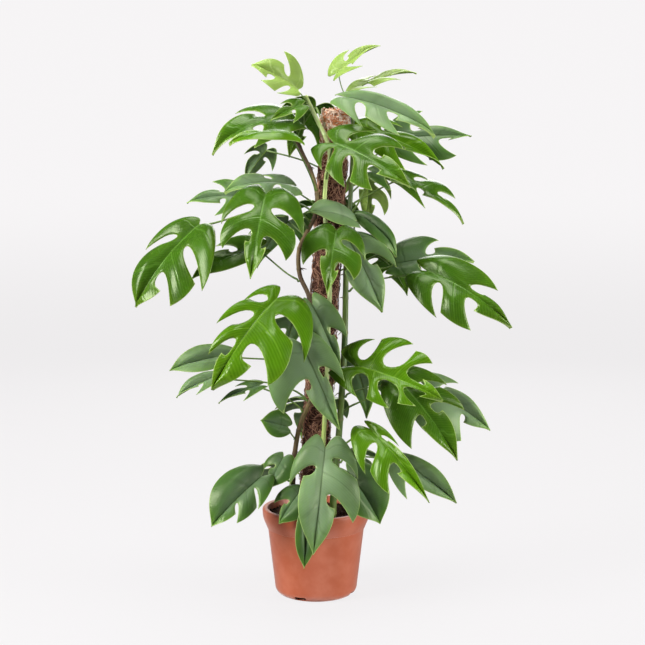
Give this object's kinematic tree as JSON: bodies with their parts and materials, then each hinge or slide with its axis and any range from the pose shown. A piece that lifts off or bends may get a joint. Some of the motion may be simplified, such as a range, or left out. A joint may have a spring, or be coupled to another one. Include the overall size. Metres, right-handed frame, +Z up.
{
  "type": "potted mini monstera on a coir pole",
  "caption": "Climbing aroid house plant with deeply cut, pointed leaves on slender stems, grown up a coir-covered pole in a round plastic nursery pot filled with soil.",
  "frame": {"origin": "centre of the flat bottom of the pot, on the surface that it stands on", "axes": "+Z up along the pot's axis, -Y towards the front of the plant, +X to the right seen from the front"},
  "size_m": [0.6401, 0.4066, 0.9633],
  "materials": {
    "pot_plastic": "terracotta-coloured thermoformed plastic, satin",
    "potting_soil": "damp potting soil, matt",
    "coir": "coconut fibre, rough",
    "pole_wood": "plain wooden stake",
    "stem_brown": "older brown-green stem, semi-matt",
    "stem_green": "green stem, semi-matt",
    "stem_young": "pale young stem, semi-matt",
    "leaf_young": "young leaf, satin",
    "leaf_bright": "glossy fresh leaf",
    "leaf_green": "glossy leaf",
    "leaf_dark": "older leaf, satin",
    "leaf_grey_green": "older leaf with a grey sheen, satin"
  },
  "bodies": {
    "root": {"pot": "pot_plastic", "soil": "potting_soil", "pole_coir": "coir", "pole_core": "pole_wood", "stem_left": "stem_brown", "stem_right": "stem_green", "stem_front": "stem_young", "stem_back": "stem_green", "leaf_top_1": "leaf_young", "leaf_top_2": "leaf_young", "leaf_top_3": "leaf_young", "leaf_top_4": "leaf_grey_green", "leaf_upper_right_1": "leaf_green", "leaf_upper_right_2": "leaf_bright", "leaf_upper_right_3": "leaf_dark", "leaf_upper_right_4": "leaf_green", "leaf_upper_right_5": "leaf_dark", "leaf_upper_left_1": "leaf_green", "leaf_upper_left_2": "leaf_bright", "leaf_upper_left_3": "leaf_green", "leaf_left_1": "leaf_green", "leaf_left_2": "leaf_dark", "leaf_left_3": "leaf_green", "leaf_left_4": "leaf_green", "leaf_left_5": "leaf_grey_green", "leaf_middle_1": "leaf_grey_green", "leaf_middle_2": "leaf_dark", "leaf_middle_3": "leaf_green", "leaf_middle_4": "leaf_grey_green", "leaf_right_1": "leaf_dark", "leaf_right_2": "leaf_green", "leaf_left_6": "leaf_bright", "leaf_left_7": "leaf_grey_green", "leaf_left_8": "leaf_grey_green", "leaf_left_9": "leaf_dark", "leaf_middle_5": "leaf_grey_green", "leaf_middle_6": "leaf_grey_green", "leaf_middle_7": "leaf_dark", "leaf_right_3": "leaf_bright", "leaf_right_4": "leaf_green", "leaf_right_5": "leaf_grey_green", "leaf_right_6": "leaf_bright", "leaf_right_7": "leaf_grey_green", "leaf_low_1": "leaf_dark", "leaf_low_2": "leaf_dark", "leaf_low_3": "leaf_dark", "leaf_low_4": "leaf_grey_green", "leaf_low_5": "leaf_dark", "leaf_low_6": "leaf_dark", "leaf_back_1": "leaf_dark", "leaf_back_2": "leaf_dark", "leaf_back_3": "leaf_dark", "leaf_back_4": "leaf_green", "leaf_back_5": "leaf_grey_green", "leaf_back_6": "leaf_young", "leaf_back_7": "leaf_green", "leaf_back_8": "leaf_green", "leaf_back_9": "leaf_dark", "leaf_back_10": "leaf_dark", "leaf_back_11": "leaf_dark"}
  },
  "joints": []
}
